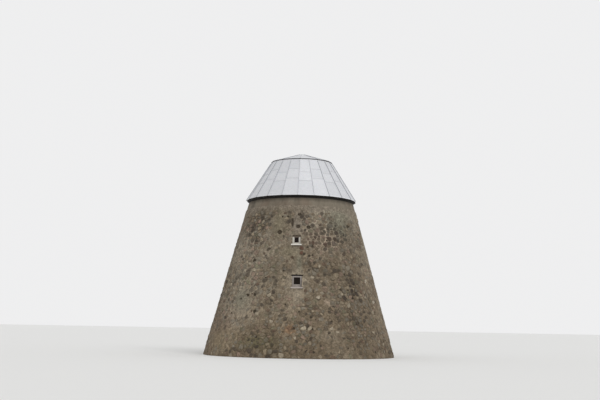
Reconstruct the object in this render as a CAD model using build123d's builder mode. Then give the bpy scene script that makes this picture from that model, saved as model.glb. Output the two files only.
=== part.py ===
from build123d import *
from collections import namedtuple
from math import cos, hypot, radians, sin, sqrt, tan
import os

# Round fieldstone tower of a windmill that has lost its sails and cap gear.
# A fixed roof of seamed metal sheets stands on it: a steep lower slope with flat bays,
# and a low pointed cap. The corners of both run under the seams.
# Millimetres, +Z up. The origin is on the ground at the tower's axis.
# Two small windows face -Y, one above the other and a little out of line.
# The doorway faces +Y, under two like windows.

# Tower wall: a leaning outer face, and an inner face that steps back at each floor
base_radius = 5332
batter = 0.2725
masonry_height = 8100
ring_beam_height = 475
ground_storey_wall = 1100
first_storey_wall = 900
second_storey_wall = 700
segment_angle = 360 / 8

# Floors
slab_thickness = 80
slab_gap = 0.3
first_floor_level = 2850
second_floor_level = 5200
board_thickness = 40
board_joint = 2
board_edge_gap = 12
beam_width = 200
beam_depth = 220
beam_spacing = 1160
beam_end_gap = 10
shortest_beam_offset = 150
hatch_width = 900
hatch_length = 900
hatch_centre = 1250

# Windows: width and height are those of the frame. Ears are the sill's ends beyond it,
# lintel ends are what shows of the lintel beyond it, and shift is to the right as seen from outside.
lower_sill_above_floor = 830
upper_sill_above_floor = 800
lower_width = 526
lower_height = 575
lower_jamb = 94
lower_head = 66
lower_rail = 142
lower_lintel = 70
lower_lintel_ends = 50
lower_sill = 74
lower_ears = 52
lower_shift = 95
upper_width = 447
upper_height = 410
upper_jamb = 107
upper_head = 70
upper_rail = 72
upper_lintel = 66
upper_lintel_ends = 0
upper_sill = 78
upper_ears = 60
upper_shift = 0
frame_depth = 70
frame_recess = 45
glass_thickness = 5
glass_groove = 8
lintel_depth = 180
lintel_bearing = 120
sill_projection = 45
sill_fall = 14
reveal_splay = 180

# Doorway
door_width = 1200
door_height = 2100
door_lintel_height = 160
door_lintel_bearing = 250
door_lintel_timbers = 4
door_lintel_joint = 3
door_lintel_setback = 12
threshold_height = 100
door_frame_width = 100
door_frame_depth = 120
door_frame_recess = 130
leaf_gap = 4
leaf_thickness = 45
plank_count = 7
groove_width = 6
groove_depth = 6
ledge_count = 3
ledge_height = 130
ledge_thickness = 28
ledge_inset = 60
hinge_length = 760
hinge_height = 50
hinge_thickness = 6
hinge_on_jamb = 60
hinge_pin_radius = 13
hinge_inset = 320
latch_plate_width = 60
latch_plate_height = 160
latch_knob_radius = 24
latch_knob_reach = 55
latch_level = 1050
latch_inset = 70

# Roof: radii are at the corners, under the seams
side_count = 22
eave_overhang = 154
lower_roof_run = 1375
lower_roof_rise = 2262
rim_overhang = 42
cap_rise = 548
sheet_thickness = 3
boarding_thickness = 25
boarding_joint = 4
frustum_end_gap = 30
seam_width = 10
seam_height = 32
seam_clearance = 0.5
seam_end_gap = 100
welt_width = 30
welt_height = 4
welts_of_even_bays = (0.38, 0.62)
welts_of_odd_bays = (0.45, 0.71)
drip_edge_length = 100
drip_edge_lip = 14
drip_edge_lap = 10
apron_height = 36

# Roof timbers
plate_width = 200
plate_height = 145
plate_setback = 20
timber_joint = 2
rafter_width = 80
rafter_depth = 170
timber_clearance = 0.3
eave_board_thickness = 20
eave_board_inset = 5
eave_board_gap = 2
curb_setback = 175
curb_width = 140
curb_height = 110
curb_notch = 30
cap_rafter_width = 70
cap_rafter_depth = 100
cap_rafter_inset = 60
king_radius = 140
king_height = 190
cap_boarding_end = 60
cap_seam_start = 6
cap_seam_end = 225
cap_seam_height = 20
apex_cap_radius = 210
apex_cap_thickness = 4

# What follows from them
lower_level = first_floor_level + lower_sill_above_floor
upper_level = second_floor_level + upper_sill_above_floor
wall_top = masonry_height + ring_beam_height
wall_top_radius = base_radius - batter * wall_top
first_ledge = first_floor_level - board_thickness - beam_depth
second_ledge = second_floor_level - board_thickness - beam_depth
half_bay = 180 / side_count
bay_angle = 2 * half_bay
flat = cos(radians(half_bay))
plate_radius = wall_top_radius - plate_setback
build_up = sheet_thickness + boarding_thickness
eave_radius = wall_top_radius + eave_overhang
eave_height = wall_top + plate_height
rim_radius = eave_radius - lower_roof_run
rim_height = eave_height + lower_roof_rise
frustum_top_radius = rim_radius - rim_overhang
apex_height = rim_height + cap_rise
curb_radius = rim_radius - curb_setback
far = 2 * base_radius

# Each slope runs from its low end to its high end, as radius and level: on a corner, and in mid-bay
corner_slope = ((eave_radius, eave_height), (frustum_top_radius, rim_height))
bay_slope = ((eave_radius * flat, eave_height), (frustum_top_radius * flat, rim_height))
cap_corner_slope = ((rim_radius, rim_height), (0, apex_height))
cap_bay_slope = ((rim_radius * flat, rim_height), (0, apex_height))

# A window's level is the top of its sill
Window = namedtuple("Window", "level width height jamb head rail lintel lintel_ends sill ears shift")
lower_window = Window(
    lower_level,
    lower_width,
    lower_height,
    lower_jamb,
    lower_head,
    lower_rail,
    lower_lintel,
    lower_lintel_ends,
    lower_sill,
    lower_ears,
    lower_shift,
)
upper_window = Window(
    upper_level,
    upper_width,
    upper_height,
    upper_jamb,
    upper_head,
    upper_rail,
    upper_lintel,
    upper_lintel_ends,
    upper_sill,
    upper_ears,
    upper_shift,
)

front = Plane.XZ
back = Plane((0, 0, 0), x_dir=(-1, 0, 0), z_dir=(0, 1, 0))
on_base = (Align.CENTER, Align.MIN)


def outer_radius(z):
    return base_radius - batter * z


def upright_plane(angle):
    """Plane through the axis: its x runs outward at that angle, its y runs up."""
    turn = radians(angle)
    return Plane((0, 0, 0), x_dir=(cos(turn), sin(turn), 0), z_dir=(sin(turn), -cos(turn), 0))


def side_plane(facing):
    """Upright plane through the axis whose x runs out through that face of the tower."""
    return Plane((0, 0, 0), x_dir=facing.z_dir, z_dir=-facing.x_dir)


def slope_length(slope):
    (low_radius, low_level), (high_radius, high_level) = slope
    return hypot(high_radius - low_radius, high_level - low_level)


def on_slope(slope, along, out):
    """Radius and level of a point that far up the slope and that far out of it."""
    (low_radius, low_level), (high_radius, high_level) = slope
    run = (high_radius - low_radius) / slope_length(slope)
    rise = (high_level - low_level) / slope_length(slope)
    return low_radius + along * run + out * rise, low_level + along * rise - out * run


def level_on(slope, radius, out=0):
    """Level at that radius of the line that runs that far out of the slope."""
    (low_radius, low_level), (high_radius, high_level) = slope
    rise_per_run = (high_level - low_level) / (low_radius - high_radius)
    return low_level + (low_radius - radius) * rise_per_run + out * hypot(1, rise_per_run)


def radius_on(slope, level, out=0):
    """Radius at that level of the line that runs that far out of the slope."""
    (low_radius, low_level), (high_radius, high_level) = slope
    rise_per_run = (high_level - low_level) / (low_radius - high_radius)
    return low_radius - (level - low_level - out * hypot(1, rise_per_run)) / rise_per_run


def strip(slope, start, end, bottom, top):
    """Outline of a layer on a slope, square at both ends."""
    corners = [(start, bottom), (end, bottom), (end, top), (start, top)]
    return [on_slope(slope, along, out) for along, out in corners]


def block(inner, outer, bottom, top):
    return [(inner, bottom), (outer, bottom), (outer, top), (inner, top)]


# Walls


def wall_sector(centre, spread, low=0, high=masonry_height):
    """Masonry between two upright planes through the axis and between two levels."""
    steps = [
        (0, ground_storey_wall),
        (first_ledge, ground_storey_wall),
        (first_ledge, first_storey_wall),
        (second_ledge, first_storey_wall),
        (second_ledge, second_storey_wall),
        (masonry_height, second_storey_wall),
    ]
    inner_face = [(outer_radius(z) - thickness, z) for z, thickness in steps]
    outer_face = [(outer_radius(masonry_height), masonry_height), (base_radius, 0)]
    with BuildPart() as sector:
        with BuildSketch(upright_plane(centre - spread / 2)):
            with BuildLine():
                Polyline(*inner_face, *outer_face, close=True)
            make_face()
        revolve(axis=Axis.Z, revolution_arc=spread)
        with BuildSketch(Plane.XY.offset(low)):
            Rectangle(far, far)
        extrude(amount=high - low, mode=Mode.INTERSECT)
    return sector.part


def window_face(window):
    """Distance from the axis to the outer face of a window's frame and lintel."""
    return outer_radius(window.level + window.height + window.lintel) - frame_recess


def window_hollow(facing, window):
    """What a window takes out of the wall: its opening, and the seats of its sill and lintel."""
    face = window_face(window)
    inside = face - frame_depth
    with BuildPart() as hollow:
        with BuildSketch(facing.offset(face)):
            with Locations((window.shift, window.level)):
                Rectangle(window.width, window.height + window.lintel, align=on_base)
            with Locations((window.shift, window.level + window.height)):
                Rectangle(window.width + 2 * window.lintel_ends, window.lintel, align=on_base)
        extrude(amount=base_radius)
        with BuildSketch(facing.offset(inside)):
            with Locations((window.shift, window.level)):
                Rectangle(window.width, window.height, align=on_base)
            with Locations((window.shift, window.level - window.sill)):
                Rectangle(window.width + 2 * window.ears, window.sill, align=on_base)
        extrude(amount=frame_depth)
        with BuildSketch(facing.offset(face)):
            with Locations((window.shift, window.level - window.sill)):
                Rectangle(window.width + 2 * window.ears, window.sill, align=on_base)
        extrude(amount=base_radius)
        with BuildSketch(facing.offset(face - lintel_depth)):
            with Locations((window.shift, window.level + window.height)):
                Rectangle(window.width + 2 * lintel_bearing, window.lintel, align=on_base)
        extrude(amount=lintel_depth)
        with BuildSketch(facing.offset(inside)):
            with Locations((window.shift, window.level)):
                Rectangle(window.width, window.height, align=on_base)
        with BuildSketch(facing.offset(inside - first_storey_wall)):
            with Locations((window.shift, window.level)):
                Rectangle(window.width + 2 * reveal_splay, window.height, align=on_base)
        loft(ruled=True)
    return hollow.part


def doorway_hollow():
    """The doorway from outside to inside, and the seat of the lintel timbers over it."""
    with BuildPart() as hollow:
        with BuildSketch(back):
            Rectangle(door_width, door_height, align=on_base)
            with Locations((0, door_height)):
                Rectangle(door_width + 2 * door_lintel_bearing, door_lintel_height, align=on_base)
        extrude(amount=far)
    return hollow.part


def wall_with_windows(facing, centre, low=0):
    sector = wall_sector(centre, segment_angle, low)
    hollows = [window_hollow(facing, window) for window in (lower_window, upper_window)]
    with BuildPart() as wall:
        add(sector)
        add(hollows, mode=Mode.SUBTRACT)
    return wall.part


def door_pier(centre):
    """Wall beside the doorway, up to the top of the lintel."""
    sector = wall_sector(centre, segment_angle / 2, high=door_height + door_lintel_height)
    doorway = doorway_hollow()
    with BuildPart() as pier:
        add(sector)
        add(doorway, mode=Mode.SUBTRACT)
    return pier.part


def ring_beam():
    """Cast ring on top of the masonry, in line with both of its faces."""
    levels = (masonry_height, wall_top)
    outer_face = [(outer_radius(z), z) for z in levels]
    inner_face = [(outer_radius(z) - second_storey_wall, z) for z in reversed(levels)]
    with BuildPart() as ring:
        with BuildSketch(Plane.XZ):
            with BuildLine():
                Polyline(*outer_face, *inner_face, close=True)
            make_face()
        revolve(axis=Axis.Z)
    return ring.part


# Floors


def ground_floor():
    """Slab cast against the foot of the wall, so its edge leans with the wall's inner face."""
    with BuildPart() as slab:
        with BuildSketch(Plane.XZ):
            with BuildLine():
                Polyline(
                    (0, 0),
                    (base_radius - ground_storey_wall - slab_gap, 0),
                    (outer_radius(slab_thickness) - ground_storey_wall - slab_gap, slab_thickness),
                    (0, slab_thickness),
                    close=True,
                )
            make_face()
        revolve(axis=Axis.Z)
    return slab.part


def floor_beams(level, wall_thickness):
    """Parallel beams whose ends lie on the step in the wall, each as long as the round wall lets it be."""
    top = level - board_thickness
    reach = outer_radius(top) - wall_thickness - beam_end_gap
    rows_each_side = int((reach - beam_width / 2 - shortest_beam_offset) / beam_spacing + 0.5)
    with BuildPart() as beams:
        for row in range(-rows_each_side, rows_each_side):
            place = (row + 0.5) * beam_spacing
            far_side = abs(place) + beam_width / 2
            with BuildSketch(Plane.XY.offset(top - beam_depth)):
                with Locations((place, 0)):
                    Rectangle(beam_width, 2 * sqrt(reach**2 - far_side**2))
            extrude(amount=beam_depth)
    return beams.part


def floor_boards(level, wall_thickness):
    """Boarded floor in fields that end over the middle of a beam, with a hatch between two beams."""
    radius = outer_radius(level) - wall_thickness - board_edge_gap
    with BuildPart() as boards:
        with BuildSketch(Plane.XY.offset(level - board_thickness)):
            Circle(radius)
            with Locations((0, hatch_centre)):
                Rectangle(hatch_width, hatch_length, mode=Mode.SUBTRACT)
            with GridLocations(beam_spacing, 0, 2, 1):
                Rectangle(board_joint, 2 * radius, mode=Mode.SUBTRACT)
            with Locations((0, hatch_centre)):
                with GridLocations(0, hatch_length, 1, 2):
                    Rectangle(beam_spacing, board_joint, mode=Mode.SUBTRACT)
        extrude(amount=board_thickness)
    return boards.part


# Windows


def window_frame(facing, window):
    """Frame of one casement, with a groove around the opening that holds the pane."""
    light_width = window.width - 2 * window.jamb
    light_height = window.height - window.rail - window.head
    face = window_face(window)
    with BuildPart() as frame:
        with BuildSketch(facing.offset(face - frame_depth)):
            with Locations((window.shift, window.level)):
                Rectangle(window.width, window.height, align=on_base)
            with Locations((window.shift, window.level + window.rail)):
                Rectangle(light_width, light_height, align=on_base, mode=Mode.SUBTRACT)
        extrude(amount=frame_depth)
        with BuildSketch(facing.offset(face - (frame_depth + glass_thickness) / 2)):
            with Locations((window.shift, window.level + window.rail - glass_groove)):
                Rectangle(light_width + 2 * glass_groove, light_height + 2 * glass_groove, align=on_base)
        extrude(amount=glass_thickness, mode=Mode.SUBTRACT)
    return frame.part


def window_pane(facing, window):
    width = window.width - 2 * window.jamb + 2 * glass_groove
    height = window.height - window.rail - window.head + 2 * glass_groove
    with BuildPart() as pane:
        with BuildSketch(facing.offset(window_face(window) - (frame_depth + glass_thickness) / 2)):
            with Locations((window.shift, window.level + window.rail - glass_groove)):
                Rectangle(width, height, align=on_base)
        extrude(amount=glass_thickness)
    return pane.part


def window_sill(facing, window):
    """Sill under the frame: its top falls outward from the frame to a nose clear of the wall."""
    face = window_face(window)
    bottom = window.level - window.sill
    nose = outer_radius(bottom) + sill_projection
    with BuildPart() as sill:
        with BuildSketch(side_plane(facing).offset(-window.shift)):
            with BuildLine():
                Polyline(
                    (face - frame_depth, bottom),
                    (nose, bottom),
                    (nose, window.level - sill_fall),
                    (face, window.level),
                    (face - frame_depth, window.level),
                    close=True,
                )
            make_face()
        extrude(amount=window.width / 2 + window.ears, both=True)
    return sill.part


def window_lintel(facing, window):
    with BuildPart() as lintel:
        with BuildSketch(facing.offset(window_face(window) - lintel_depth)):
            with Locations((window.shift, window.level + window.height)):
                Rectangle(window.width + 2 * lintel_bearing, window.lintel, align=on_base)
        extrude(amount=lintel_depth)
    return lintel.part


# Doorway


def door_face():
    """Distance from the axis to the outer face of the door and its frame."""
    return outer_radius(door_height) - door_frame_recess


def door_lintel():
    """Timbers side by side through the wall, the outermost one just inside the round face."""
    top = door_height + door_lintel_height
    half_length = door_width / 2 + door_lintel_bearing
    outside = sqrt(outer_radius(top) ** 2 - half_length**2) - door_lintel_setback
    inside = outer_radius(door_height) - ground_storey_wall
    spacing = (outside - inside + door_lintel_joint) / door_lintel_timbers
    with BuildPart() as lintel:
        for timber in range(door_lintel_timbers):
            with BuildSketch(back.offset(inside + timber * spacing)):
                with Locations((0, door_height)):
                    Rectangle(2 * half_length, door_lintel_height, align=on_base)
            extrude(amount=spacing - door_lintel_joint)
    return lintel.part


def threshold():
    inside = base_radius - ground_storey_wall
    outside = sqrt(outer_radius(threshold_height) ** 2 - (door_width / 2) ** 2)
    with BuildPart() as step:
        with BuildSketch(back.offset(inside)):
            Rectangle(door_width, threshold_height, align=on_base)
        extrude(amount=outside - inside)
    return step.part


def door_frame():
    with BuildPart() as frame:
        with BuildSketch(back.offset(door_face() - door_frame_depth)):
            with Locations((0, threshold_height)):
                Rectangle(door_width, door_height - threshold_height, align=on_base)
                Rectangle(
                    door_width - 2 * door_frame_width,
                    door_height - threshold_height - door_frame_width,
                    align=on_base,
                    mode=Mode.SUBTRACT,
                )
        extrude(amount=door_frame_depth)
    return frame.part


def door_leaf():
    """Planks joined edge to edge, with a groove at each joint, on ledges across the inside."""
    width = door_width - 2 * door_frame_width - 2 * leaf_gap
    height = door_height - threshold_height - door_frame_width - 2 * leaf_gap
    bottom = threshold_height + leaf_gap
    ledge_spacing = (height - 2 * ledge_inset - ledge_height) / (ledge_count - 1)
    with BuildPart() as leaf:
        with BuildSketch(back.offset(door_face() - leaf_thickness)):
            with Locations((0, bottom)):
                Rectangle(width, height, align=on_base)
        extrude(amount=leaf_thickness)
        with BuildSketch(back.offset(door_face())):
            with Locations((0, bottom + height / 2)):
                with GridLocations(width / plank_count, 0, plank_count - 1, 1):
                    Rectangle(groove_width, height)
        extrude(amount=-groove_depth, mode=Mode.SUBTRACT)
        with BuildSketch(back.offset(door_face() - leaf_thickness)):
            with Locations((0, bottom + height / 2)):
                with GridLocations(0, ledge_spacing, 1, ledge_count):
                    Rectangle(width - 2 * ledge_inset, ledge_height)
        extrude(amount=-ledge_thickness)
    return leaf.part


def door_hinges():
    """Two strap hinges that lie on the planks and on the jamb, with a knuckle over the joint."""
    joint = door_width / 2 - door_frame_width
    levels = (threshold_height + hinge_inset, door_height - door_frame_width - hinge_inset)
    with BuildPart() as hinges:
        for level in levels:
            with BuildSketch(back.offset(door_face())):
                with Locations((joint + hinge_on_jamb, level)):
                    Rectangle(hinge_length, hinge_height, align=(Align.MAX, Align.CENTER))
            extrude(amount=hinge_thickness)
            with BuildSketch(Plane.XY.offset(level - hinge_height / 2)):
                with Locations((-joint, door_face() + hinge_pin_radius)):
                    Circle(hinge_pin_radius)
            extrude(amount=hinge_height)
    return hinges.part


def door_latch():
    """Latch plate with a round knob, on the edge of the door away from the hinges."""
    place = door_width / 2 - door_frame_width - leaf_gap - latch_inset
    with BuildPart() as latch:
        with BuildSketch(back.offset(door_face())):
            with Locations((-place, latch_level)):
                Rectangle(latch_plate_width, latch_plate_height)
        extrude(amount=hinge_thickness)
        with BuildSketch(back.offset(door_face())):
            with Locations((-place, latch_level)):
                Circle(latch_knob_radius)
        extrude(amount=latch_knob_reach)
        chamfer(latch.faces().sort_by(Axis.Y)[-1].edges(), length=latch_knob_radius / 4)
    return latch.part


# Roof


def sector(spread, joint=0):
    """Upright wedge about +X, with half the joint taken off each side."""
    tip = joint / 2 / sin(radians(spread / 2))
    with BuildPart() as wedge:
        with BuildSketch():
            with BuildLine():
                reach = far * tan(radians(spread / 2))
                Polyline((tip, 0), (tip + far, reach), (tip + far, -reach), close=True)
            make_face()
        extrude(amount=2 * apex_height)
    return wedge.part


def mitred_bay(outline, joint=0):
    """Straight piece across the bay about +X, mitred where it meets the next bays."""
    wedge = sector(bay_angle, joint)
    with BuildPart() as bay:
        with BuildSketch(Plane.XZ):
            with BuildLine():
                Polyline(*outline, close=True)
            make_face()
        extrude(amount=eave_radius, both=True)
        add(wedge, mode=Mode.INTERSECT)
    return bay.part


def corner_piece(outline, width, *cuts):
    """Upright piece on the corner at +X, cut by layers of the two bays that meet there."""
    layers = [mitred_bay(cut) for cut in cuts]
    with BuildPart() as piece:
        with BuildSketch(Plane.XZ):
            with BuildLine():
                Polyline(*outline, close=True)
            make_face()
        extrude(amount=width / 2, both=True)
        with PolarLocations(0, 2, start_angle=-half_bay, angular_range=2 * bay_angle):
            add(layers, mode=Mode.SUBTRACT)
    return piece.part


def around(piece, count=side_count, first=0.5):
    """Copies of a piece around the axis, the first so many bays past the corner at the front."""
    with BuildPart() as ring:
        with PolarLocations(0, count, start_angle=-90 + first * bay_angle):
            add(piece)
    return ring.part


def wall_plate():
    inner = (plate_radius - plate_width) * flat
    return around(mitred_bay(block(inner, plate_radius * flat, wall_top, wall_top + plate_height), timber_joint))


def rafters():
    """Rafters under the corners: notched over the wall plate, cut to the curb and to both slopes."""
    under = -build_up - rafter_depth
    head_radius = curb_radius + timber_clearance
    start = eave_board_inset + eave_board_thickness + eave_board_gap
    outline = [
        on_slope(corner_slope, 0, under),
        (head_radius, level_on(corner_slope, head_radius, under)),
        (head_radius, curb_top()),
        (radius_on(corner_slope, curb_top()), curb_top()),
        on_slope(corner_slope, 0, 0),
    ]
    above = strip(bay_slope, -far, far, -build_up - timber_clearance, far)
    below_start = strip(bay_slope, -far, start, -far, far)
    rafter = corner_piece(outline, rafter_width, above, below_start)
    seat = block(0, plate_radius + timber_clearance, wall_top, wall_top + plate_height)
    with BuildPart() as notched:
        add(rafter)
        with BuildSketch(Plane.XZ):
            with BuildLine():
                Polyline(*seat, close=True)
            make_face()
        extrude(amount=rafter_width, both=True, mode=Mode.SUBTRACT)
    return around(notched.part, first=0)


def curb_top():
    """Level of the curb's top: the cap rafters are notched over it."""
    return level_on(cap_corner_slope, curb_radius, -build_up - cap_rafter_depth) + curb_notch


def upper_curb():
    inner = (curb_radius - curb_width) * flat
    return around(mitred_bay(block(inner, curb_radius * flat, curb_top() - curb_height, curb_top()), timber_joint))


def roof_boarding():
    start = eave_board_inset + eave_board_thickness + eave_board_gap
    end = slope_length(bay_slope) - frustum_end_gap
    return around(mitred_bay(strip(bay_slope, start, end, -build_up, -sheet_thickness), boarding_joint))


def eave_boards():
    """Boards square to the slope that close the rafters' ends, down to just outside the wall plate."""
    inner_edge = eave_board_inset + eave_board_thickness
    edge_radius, edge_level = on_slope(bay_slope, inner_edge, 0)
    rise = (rim_height - eave_height) / slope_length(bay_slope)
    depth = min((edge_radius - plate_radius * flat - eave_board_gap) / rise, build_up + rafter_depth)
    outline = strip(bay_slope, eave_board_inset, inner_edge, -depth, -sheet_thickness)
    return around(mitred_bay(outline, timber_joint))


def roof_sheets():
    """Sheets between the seams, with welts across them that are staggered from bay to bay."""
    length = slope_length(bay_slope)
    joint = seam_width + 2 * seam_clearance
    laid = strip(bay_slope, drip_edge_length, length - frustum_end_gap, -sheet_thickness, 0)
    foot = drip_edge_length - drip_edge_lap
    foot_welt = mitred_bay(strip(bay_slope, foot, foot + welt_width, 0, welt_height), joint)
    sheet = mitred_bay(laid, joint)
    with BuildPart() as sheets:
        for first, welts in ((0.5, welts_of_even_bays), (1.5, welts_of_odd_bays)):
            cross_welts = [
                mitred_bay(
                    strip(bay_slope, part * length, part * length + welt_width, -sheet_thickness / 2, welt_height),
                    joint,
                )
                for part in welts
            ]
            with PolarLocations(0, side_count // 2, start_angle=-90 + first * bay_angle):
                add([sheet, foot_welt, *cross_welts])
    return sheets.part


def standing_seams():
    end = slope_length(bay_slope) - seam_end_gap
    under = strip(bay_slope, -far, far, -far, -sheet_thickness)
    seam = corner_piece(strip(corner_slope, 0, end, -build_up, seam_height), seam_width, under)
    return around(seam, first=0)


def drip_edge():
    """Strip at the foot of the sheets, turned down over the eave boards."""
    joint = seam_width + 2 * seam_clearance
    laid = mitred_bay(strip(bay_slope, 0, drip_edge_length - 1, -sheet_thickness, 0), joint)
    lip = mitred_bay(strip(bay_slope, 0, sheet_thickness, -drip_edge_lip, 0), joint)
    with BuildPart() as edge:
        with PolarLocations(0, side_count, start_angle=-90 + half_bay):
            add([laid, lip])
    return edge.part


def rim_apron():
    """Dark strip that hangs from the cap's edge, clear of the top of the lower slope."""
    outer = rim_radius * flat
    top = level_on(cap_bay_slope, outer, -sheet_thickness)
    return around(mitred_bay(block(outer - sheet_thickness, outer, top - apron_height, top), timber_joint))


def cap_rafters():
    """Rafters under every other corner of the cap, notched over the curb, against the king block."""
    outer = rim_radius - cap_rafter_inset
    inner = king_radius + timber_clearance
    under = -build_up - cap_rafter_depth
    outline = [
        (outer, level_on(cap_corner_slope, outer, under)),
        (outer, level_on(cap_corner_slope, outer)),
        (inner, level_on(cap_corner_slope, inner)),
        (inner, level_on(cap_corner_slope, inner, under)),
    ]
    above = strip(cap_bay_slope, -far, far, -build_up - timber_clearance, far)
    rafter = corner_piece(outline, cap_rafter_width, above)
    seat = block(curb_radius - curb_width - timber_clearance, far, 0, curb_top() + timber_clearance)
    with BuildPart() as notched:
        add(rafter)
        with BuildSketch(Plane.XZ):
            with BuildLine():
                Polyline(*seat, close=True)
            make_face()
        extrude(amount=cap_rafter_width, both=True, mode=Mode.SUBTRACT)
    return around(notched.part, side_count // 2, first=0)


def king_block():
    with BuildPart() as king:
        with BuildSketch(Plane.XY.offset(level_on(cap_bay_slope, king_radius, -build_up))):
            Circle(king_radius)
        extrude(amount=-king_height)
    return king.part


def cap_boarding():
    """Boarding of the cap, cut plumb behind the apron."""
    edge = rim_radius * flat - sheet_thickness
    end = slope_length(cap_bay_slope) - cap_boarding_end
    outline = [
        (edge, level_on(cap_bay_slope, edge, -build_up)),
        on_slope(cap_bay_slope, end, -build_up),
        on_slope(cap_bay_slope, end, -sheet_thickness),
        (edge, level_on(cap_bay_slope, edge, -sheet_thickness)),
    ]
    return around(mitred_bay(outline, boarding_joint))


def cap_sheets():
    """Sheets of the cap, each over two bays."""
    end = slope_length(cap_bay_slope) - cap_boarding_end
    bay = mitred_bay(strip(cap_bay_slope, 0, end, -sheet_thickness, 0))
    wedge = sector(2 * bay_angle, seam_width + 2 * seam_clearance)
    with BuildPart() as pair:
        with PolarLocations(0, 2, start_angle=-half_bay, angular_range=2 * bay_angle):
            add(bay)
        add(wedge, mode=Mode.INTERSECT)
    return around(pair.part, side_count // 2, first=1)


def cap_seams():
    end = slope_length(cap_corner_slope) - cap_seam_end
    under = strip(cap_bay_slope, -far, far, -far, -sheet_thickness)
    seam = corner_piece(
        strip(cap_corner_slope, cap_seam_start, end, -build_up, cap_seam_height), seam_width, under
    )
    return around(seam, side_count // 2, first=0)


def apex_cap():
    """Folded cap over the ends of the cap's sheets, with a facet for each bay."""
    foot = apex_cap_radius * flat
    outline = [
        (foot, level_on(cap_bay_slope, foot)),
        (0, apex_height),
        (0, level_on(cap_bay_slope, 0, apex_cap_thickness)),
        (foot, level_on(cap_bay_slope, foot, apex_cap_thickness)),
    ]
    return around(mitred_bay(outline))


windows = [(facing, window) for facing in (front, back) for window in (lower_window, upper_window)]


def all_windows(make):
    """One node with that piece of every window."""
    pieces = [make(facing, window) for facing, window in windows]
    with BuildPart() as node:
        add(pieces)
    return node.part


nodes = {
    "front_wall": wall_with_windows(front, -90),
    "front_right_wall": wall_sector(-45, segment_angle),
    "right_wall": wall_sector(0, segment_angle),
    "back_right_wall": wall_sector(45, segment_angle),
    "back_wall": wall_with_windows(back, 90, low=door_height + door_lintel_height),
    "door_pier_right": door_pier(90 - segment_angle / 4),
    "door_pier_left": door_pier(90 + segment_angle / 4),
    "back_left_wall": wall_sector(135, segment_angle),
    "left_wall": wall_sector(180, segment_angle),
    "front_left_wall": wall_sector(-135, segment_angle),
    "ring_beam": ring_beam(),
    "ground_floor": ground_floor(),
    "first_floor_beams": floor_beams(first_floor_level, first_storey_wall),
    "first_floor_boards": floor_boards(first_floor_level, first_storey_wall),
    "second_floor_beams": floor_beams(second_floor_level, second_storey_wall),
    "second_floor_boards": floor_boards(second_floor_level, second_storey_wall),
    "front_lower_frame": window_frame(front, lower_window),
    "front_upper_frame": window_frame(front, upper_window),
    "back_lower_frame": window_frame(back, lower_window),
    "back_upper_frame": window_frame(back, upper_window),
    "window_panes": all_windows(window_pane),
    "window_sills": all_windows(window_sill),
    "window_lintels": all_windows(window_lintel),
    "door_lintel": door_lintel(),
    "threshold": threshold(),
    "door_frame": door_frame(),
    "door_leaf": door_leaf(),
    "door_hinges": door_hinges(),
    "door_latch": door_latch(),
    "wall_plate": wall_plate(),
    "rafters": rafters(),
    "upper_curb": upper_curb(),
    "roof_boarding": roof_boarding(),
    "eave_boards": eave_boards(),
    "roof_sheets": roof_sheets(),
    "standing_seams": standing_seams(),
    "drip_edge": drip_edge(),
    "rim_apron": rim_apron(),
    "cap_rafters": cap_rafters(),
    "king_block": king_block(),
    "cap_boarding": cap_boarding(),
    "cap_sheets": cap_sheets(),
    "cap_seams": cap_seams(),
    "apex_cap": apex_cap(),
}

os.makedirs("parts", exist_ok=True)
for name, part in nodes.items():
    part.label = name
    export_step(part, f"parts/{name}.step")
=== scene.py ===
import bpy
import math
import random
import numpy as np
from mathutils import Euler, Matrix, Quaternion, Vector, kdtree, noise


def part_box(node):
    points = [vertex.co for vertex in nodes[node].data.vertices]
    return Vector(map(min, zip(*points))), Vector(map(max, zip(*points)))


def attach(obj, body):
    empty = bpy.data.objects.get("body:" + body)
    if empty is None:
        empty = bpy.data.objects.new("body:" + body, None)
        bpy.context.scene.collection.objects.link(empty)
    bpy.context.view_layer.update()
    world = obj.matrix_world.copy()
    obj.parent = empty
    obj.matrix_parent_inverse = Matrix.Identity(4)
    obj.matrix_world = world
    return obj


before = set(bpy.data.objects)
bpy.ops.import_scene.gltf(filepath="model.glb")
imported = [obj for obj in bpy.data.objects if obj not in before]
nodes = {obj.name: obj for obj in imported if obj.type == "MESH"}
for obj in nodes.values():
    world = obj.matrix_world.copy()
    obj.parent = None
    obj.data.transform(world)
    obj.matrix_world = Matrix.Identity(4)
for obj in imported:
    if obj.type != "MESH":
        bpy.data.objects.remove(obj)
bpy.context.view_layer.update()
print("frame loaded,", len(nodes), "nodes")

# the tower as the frame has it: a cone cut off at the ring beam
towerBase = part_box("left_wall")[0].x * -1
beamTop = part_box("ring_beam")[1].z
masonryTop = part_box("ring_beam")[0].z
batter = (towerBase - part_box("ring_beam")[1].x) / masonryTop  # the beam's widest ring is its foot
slant = math.hypot(1, batter)  # metres along the face for a metre of height
betweenRows = 5.2  # a height between the lower and the upper windows
segmentNames = ["front", "frontRight", "right", "backRight", "back", "backLeft", "left", "frontLeft"]


def wallRadius(z):
    return towerBase - batter * z


def onWall(along, z, out):
    # along is an angle from the front, counted towards +X; out is square to the face
    r = wallRadius(z) + out / slant
    return np.stack([r * np.sin(along), -r * np.cos(along), z + out * batter / slant], axis=-1)


def addMesh(name, verts, faces, mat, smooth=True):
    me = bpy.data.meshes.new(name)
    me.from_pydata([tuple(v) for v in verts], [], [tuple(f) for f in faces])
    me.materials.append(mat)
    me.polygons.foreach_set("use_smooth", [smooth] * len(me.polygons))
    me.update()
    ob = bpy.data.objects.new(name, me)
    bpy.context.scene.collection.objects.link(ob)
    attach(ob, "root")
    return ob


# materials: a few small helpers, then one function for each finish

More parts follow.
